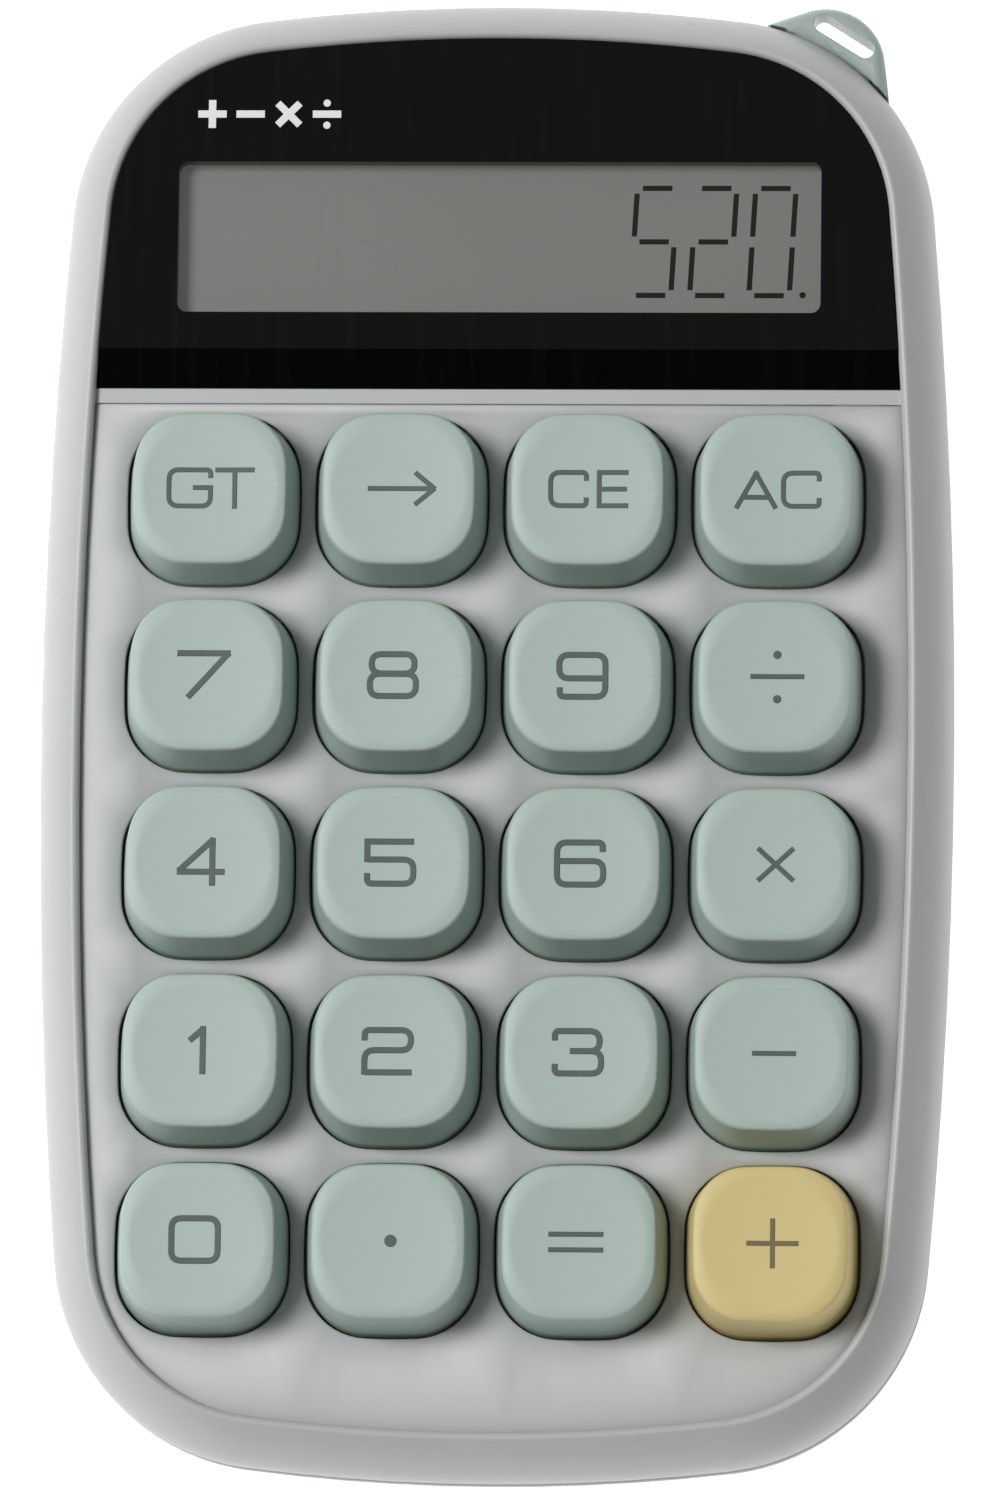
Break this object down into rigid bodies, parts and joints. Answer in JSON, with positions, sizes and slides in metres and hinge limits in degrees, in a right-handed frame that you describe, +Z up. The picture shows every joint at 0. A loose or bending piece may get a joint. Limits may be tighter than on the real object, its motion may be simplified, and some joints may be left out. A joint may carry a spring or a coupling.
{
  "type": "desk calculator",
  "caption": "Pocket-size desk calculator with sprung mechanical keys, a liquid-crystal display, a turn-lock battery cover and a lanyard loop.",
  "frame": {"origin": "centre of the overall footprint, on the surface the feet stand on", "axes": "+X to the right of the keyboard, +Y along the case towards the display, +Z up out of the keys"},
  "size_m": [0.0928, 0.1516, 0.0224],
  "materials": {
    "case_plastic": "satin grey ABS",
    "loop_plastic": "mint-grey, half gloss",
    "deck_plastic": "fine matte grey",
    "bezel_black": "polished black",
    "window_clear": "clear acrylic",
    "lcd_glass": "liquid-crystal glass over a grey reflector",
    "zebra_rubber": "layered silicone",
    "board_laminate": "green solder mask",
    "chip_epoxy": "black epoxy drop",
    "plate_steel": "bare sheet",
    "switch_housing": "black nylon",
    "switch_lid": "milky nylon",
    "spring_steel": "bright wire",
    "contact_alloy": "phosphor bronze",
    "cell_steel": "plated can",
    "foot_rubber": "soft dark rubber",
    "screw_steel": "zinc plated",
    "keycap_grey": "fine matte, green-grey",
    "keycap_yellow": "fine matte, warm yellow",
    "stem_plastic": "red acetal"
  },
  "bodies": {
    "case": {"top_case": "case_plastic", "bottom_case": "case_plastic", "lanyard_loop": "loop_plastic", "deck_panel": "deck_plastic", "display_bezel": "bezel_black", "display_window": "window_clear", "lcd_cell": "lcd_glass", "zebra_strip": "zebra_rubber", "main_board": "board_laminate", "controller_chip": "chip_epoxy", "switch_plate": "plate_steel", "switch_bases": "switch_housing", "switch_covers": "switch_lid", "switch_springs": "spring_steel", "switch_contacts": "contact_alloy", "coin_cell": "cell_steel", "battery_contacts": "contact_alloy", "rubber_feet": "foot_rubber", "case_screws": "screw_steel"},
    "key_grand_total": {"keycap_grand_total": "keycap_grey", "stem_grand_total": "stem_plastic"},
    "key_backspace": {"keycap_backspace": "keycap_grey", "stem_backspace": "stem_plastic"},
    "key_clear_entry": {"keycap_clear_entry": "keycap_grey", "stem_clear_entry": "stem_plastic"},
    "key_all_clear": {"keycap_all_clear": "keycap_grey", "stem_all_clear": "stem_plastic"},
    "key_7": {"keycap_7": "keycap_grey", "stem_7": "stem_plastic"},
    "key_8": {"keycap_8": "keycap_grey", "stem_8": "stem_plastic"},
    "key_9": {"keycap_9": "keycap_grey", "stem_9": "stem_plastic"},
    "key_divide": {"keycap_divide": "keycap_grey", "stem_divide": "stem_plastic"},
    "key_4": {"keycap_4": "keycap_grey", "stem_4": "stem_plastic"},
    "key_5": {"keycap_5": "keycap_grey", "stem_5": "stem_plastic"},
    "key_6": {"keycap_6": "keycap_grey", "stem_6": "stem_plastic"},
    "key_multiply": {"keycap_multiply": "keycap_grey", "stem_multiply": "stem_plastic"},
    "key_1": {"keycap_1": "keycap_grey", "stem_1": "stem_plastic"},
    "key_2": {"keycap_2": "keycap_grey", "stem_2": "stem_plastic"},
    "key_3": {"keycap_3": "keycap_grey", "stem_3": "stem_plastic"},
    "key_minus": {"keycap_minus": "keycap_grey", "stem_minus": "stem_plastic"},
    "key_0": {"keycap_0": "keycap_grey", "stem_0": "stem_plastic"},
    "key_point": {"keycap_point": "keycap_grey", "stem_point": "stem_plastic"},
    "key_equals": {"keycap_equals": "keycap_grey", "stem_equals": "stem_plastic"},
    "key_plus": {"keycap_plus": "keycap_yellow", "stem_plus": "stem_plastic"},
    "battery_door": {"battery_cover": "case_plastic"}
  },
  "joints": [
    {"name": "press_grand_total", "type": "slide", "parent": "case", "child": "key_grand_total", "axis": [0, 0, -1], "range_m": [0, 0.003], "stiffness_N_per_m": 100, "springref_m": -0.003, "deforming": ["switch_springs"]},
    {"name": "press_backspace", "type": "slide", "parent": "case", "child": "key_backspace", "axis": [0, 0, -1], "range_m": [0, 0.003], "stiffness_N_per_m": 100, "springref_m": -0.003, "deforming": ["switch_springs"]},
    {"name": "press_clear_entry", "type": "slide", "parent": "case", "child": "key_clear_entry", "axis": [0, 0, -1], "range_m": [0, 0.003], "stiffness_N_per_m": 100, "springref_m": -0.003, "deforming": ["switch_springs"]},
    {"name": "press_all_clear", "type": "slide", "parent": "case", "child": "key_all_clear", "axis": [0, 0, -1], "range_m": [0, 0.003], "stiffness_N_per_m": 100, "springref_m": -0.003, "deforming": ["switch_springs"]},
    {"name": "press_7", "type": "slide", "parent": "case", "child": "key_7", "axis": [0, 0, -1], "range_m": [0, 0.003], "stiffness_N_per_m": 100, "springref_m": -0.003, "deforming": ["switch_springs"]},
    {"name": "press_8", "type": "slide", "parent": "case", "child": "key_8", "axis": [0, 0, -1], "range_m": [0, 0.003], "stiffness_N_per_m": 100, "springref_m": -0.003, "deforming": ["switch_springs"]},
    {"name": "press_9", "type": "slide", "parent": "case", "child": "key_9", "axis": [0, 0, -1], "range_m": [0, 0.003], "stiffness_N_per_m": 100, "springref_m": -0.003, "deforming": ["switch_springs"]},
    {"name": "press_divide", "type": "slide", "parent": "case", "child": "key_divide", "axis": [0, 0, -1], "range_m": [0, 0.003], "stiffness_N_per_m": 100, "springref_m": -0.003, "deforming": ["switch_springs"]},
    {"name": "press_4", "type": "slide", "parent": "case", "child": "key_4", "axis": [0, 0, -1], "range_m": [0, 0.003], "stiffness_N_per_m": 100, "springref_m": -0.003, "deforming": ["switch_springs"]},
    {"name": "press_5", "type": "slide", "parent": "case", "child": "key_5", "axis": [0, 0, -1], "range_m": [0, 0.003], "stiffness_N_per_m": 100, "springref_m": -0.003, "deforming": ["switch_springs"]},
    {"name": "press_6", "type": "slide", "parent": "case", "child": "key_6", "axis": [0, 0, -1], "range_m": [0, 0.003], "stiffness_N_per_m": 100, "springref_m": -0.003, "deforming": ["switch_springs"]},
    {"name": "press_multiply", "type": "slide", "parent": "case", "child": "key_multiply", "axis": [0, 0, -1], "range_m": [0, 0.003], "stiffness_N_per_m": 100, "springref_m": -0.003, "deforming": ["switch_springs"]},
    {"name": "press_1", "type": "slide", "parent": "case", "child": "key_1", "axis": [0, 0, -1], "range_m": [0, 0.003], "stiffness_N_per_m": 100, "springref_m": -0.003, "deforming": ["switch_springs"]},
    {"name": "press_2", "type": "slide", "parent": "case", "child": "key_2", "axis": [0, 0, -1], "range_m": [0, 0.003], "stiffness_N_per_m": 100, "springref_m": -0.003, "deforming": ["switch_springs"]},
    {"name": "press_3", "type": "slide", "parent": "case", "child": "key_3", "axis": [0, 0, -1], "range_m": [0, 0.003], "stiffness_N_per_m": 100, "springref_m": -0.003, "deforming": ["switch_springs"]},
    {"name": "press_minus", "type": "slide", "parent": "case", "child": "key_minus", "axis": [0, 0, -1], "range_m": [0, 0.003], "stiffness_N_per_m": 100, "springref_m": -0.003, "deforming": ["switch_springs"]},
    {"name": "press_0", "type": "slide", "parent": "case", "child": "key_0", "axis": [0, 0, -1], "range_m": [0, 0.003], "stiffness_N_per_m": 100, "springref_m": -0.003, "deforming": ["switch_springs"]},
    {"name": "press_point", "type": "slide", "parent": "case", "child": "key_point", "axis": [0, 0, -1], "range_m": [0, 0.003], "stiffness_N_per_m": 100, "springref_m": -0.003, "deforming": ["switch_springs"]},
    {"name": "press_equals", "type": "slide", "parent": "case", "child": "key_equals", "axis": [0, 0, -1], "range_m": [0, 0.003], "stiffness_N_per_m": 100, "springref_m": -0.003, "deforming": ["switch_springs"]},
    {"name": "press_plus", "type": "slide", "parent": "case", "child": "key_plus", "axis": [0, 0, -1], "range_m": [0, 0.003], "stiffness_N_per_m": 100, "springref_m": -0.003, "deforming": ["switch_springs"]},
    {"name": "battery_door_turn", "type": "hinge", "parent": "case", "child": "battery_door", "pos_m": [0, 0.05, 0.0008], "axis": [0, 0, -1], "range_deg": [0, 45]}
  ]
}
